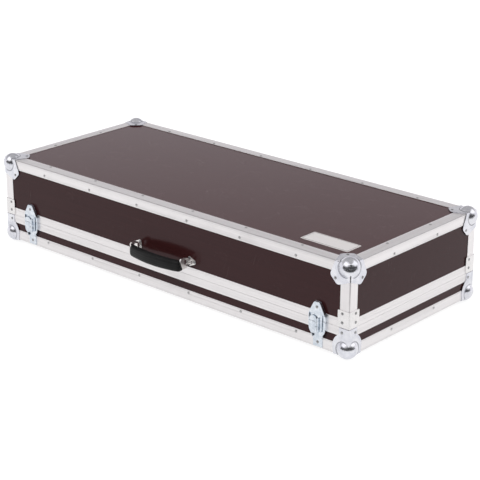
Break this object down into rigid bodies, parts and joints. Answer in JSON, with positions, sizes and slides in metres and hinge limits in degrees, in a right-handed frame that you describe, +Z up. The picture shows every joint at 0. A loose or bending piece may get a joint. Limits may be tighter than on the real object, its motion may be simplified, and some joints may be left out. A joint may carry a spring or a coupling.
{
  "type": "keyboard case",
  "caption": "Long low keyboard flight case: brown panels in aluminium edging, steel ball corners, hinged lid, butterfly latches and a swinging front handle.",
  "frame": {"origin": "centre of the whole case's bounding box in X and Y, at the floor under the four lower ball corners", "axes": "+X along the case, to the right seen from the front; -Y to the front with the handle and latches; +Z up"},
  "size_m": [1.0578, 0.4889, 0.218],
  "materials": {
    "brown_laminate": "semi-gloss phenolic film on birch plywood",
    "edging": "satin extruded",
    "zinc_steel": "bright zinc plated, bluish",
    "latch_steel": "bright zinc plated",
    "hinge_steel": "bright zinc plated",
    "handle_metal": "nickel plated",
    "grip": "ribbed soft plastic",
    "rivet": "mill",
    "badge": "satin, bare",
    "foam_lining": "closed-cell foam"
  },
  "bodies": {
    "base": {"base_bottom_panel": "brown_laminate", "base_front_panel": "brown_laminate", "base_back_panel": "brown_laminate", "base_left_panel": "brown_laminate", "base_right_panel": "brown_laminate", "base_edge_front": "edging", "base_edge_back": "edging", "base_edge_left": "edging", "base_edge_right": "edging", "base_corner_edges": "edging", "base_closure_front": "edging", "base_closure_back": "edging", "base_closure_left": "edging", "base_closure_right": "edging", "base_ball_corners": "zinc_steel", "base_foam_floor": "foam_lining", "base_foam_sides": "foam_lining", "base_edge_rivets": "rivet", "base_hardware_rivets": "rivet", "latch_left_plate": "latch_steel", "latch_right_plate": "latch_steel", "hinge_left_base_leaf": "hinge_steel", "hinge_right_base_leaf": "hinge_steel", "hinge_pins": "hinge_steel"},
    "lid": {"lid_top_panel": "brown_laminate", "lid_front_panel": "brown_laminate", "lid_back_panel": "brown_laminate", "lid_left_panel": "brown_laminate", "lid_right_panel": "brown_laminate", "lid_edge_front": "edging", "lid_edge_back": "edging", "lid_edge_left": "edging", "lid_edge_right": "edging", "lid_corner_edges": "edging", "lid_closure_front": "edging", "lid_closure_back": "edging", "lid_closure_left": "edging", "lid_closure_right": "edging", "lid_ball_corners": "zinc_steel", "lid_corner_braces": "zinc_steel", "lid_foam_top": "foam_lining", "lid_foam_sides": "foam_lining", "lid_edge_rivets": "rivet", "lid_hardware_rivets": "rivet", "badge_plate": "badge", "handle_bracket_left": "handle_metal", "handle_bracket_right": "handle_metal", "latch_left_keeper": "latch_steel", "latch_right_keeper": "latch_steel", "hinge_left_lid_leaf": "hinge_steel", "hinge_right_lid_leaf": "hinge_steel"},
    "handle": {"handle_grip": "grip", "handle_loops": "handle_metal"},
    "latch_left_rotor": {"latch_left_rotor": "latch_steel"},
    "latch_left_wing": {"latch_left_wing": "latch_steel"},
    "latch_left_hook": {"latch_left_hook": "latch_steel"},
    "latch_right_rotor": {"latch_right_rotor": "latch_steel"},
    "latch_right_wing": {"latch_right_wing": "latch_steel"},
    "latch_right_hook": {"latch_right_hook": "latch_steel"}
  },
  "joints": [
    {"name": "lid_hinge", "type": "hinge", "parent": "base", "child": "lid", "pos_m": [0, 0.2398, 0.0695], "axis": [-1, 0, 0], "range_deg": [0, 115]},
    {"name": "handle_swing", "type": "hinge", "parent": "lid", "child": "handle", "pos_m": [0.008, -0.2045, 0.102], "axis": [-1, 0, 0], "range_deg": [-40, 40]},
    {"name": "latch_left_turn", "type": "hinge", "parent": "base", "child": "latch_left_rotor", "pos_m": [-0.43, -0.2005, 0.06], "axis": [0, -1, 0], "range_deg": [0, 180]},
    {"name": "latch_left_hook_slide", "type": "slide", "parent": "base", "child": "latch_left_hook", "axis": [0, 0, 1], "range_m": [0, 0.007]},
    {"name": "latch_left_wing_fold", "type": "hinge", "parent": "latch_left_rotor", "child": "latch_left_wing", "pos_m": [-0.43, -0.2068, 0.06], "axis": [0, 0, 1], "range_deg": [0, 90]},
    {"name": "latch_right_turn", "type": "hinge", "parent": "base", "child": "latch_right_rotor", "pos_m": [0.442, -0.2005, 0.06], "axis": [0, -1, 0], "range_deg": [0, 180]},
    {"name": "latch_right_hook_slide", "type": "slide", "parent": "base", "child": "latch_right_hook", "axis": [0, 0, 1], "range_m": [0, 0.007]},
    {"name": "latch_right_wing_fold", "type": "hinge", "parent": "latch_right_rotor", "child": "latch_right_wing", "pos_m": [0.442, -0.2068, 0.06], "axis": [0, 0, 1], "range_deg": [0, 90]}
  ],
  "couplings": [
    {"joint": "latch_left_turn", "follows": "latch_left_hook_slide", "rad_per_m": 448.79},
    {"joint": "latch_right_turn", "follows": "latch_right_hook_slide", "rad_per_m": 448.79}
  ]
}
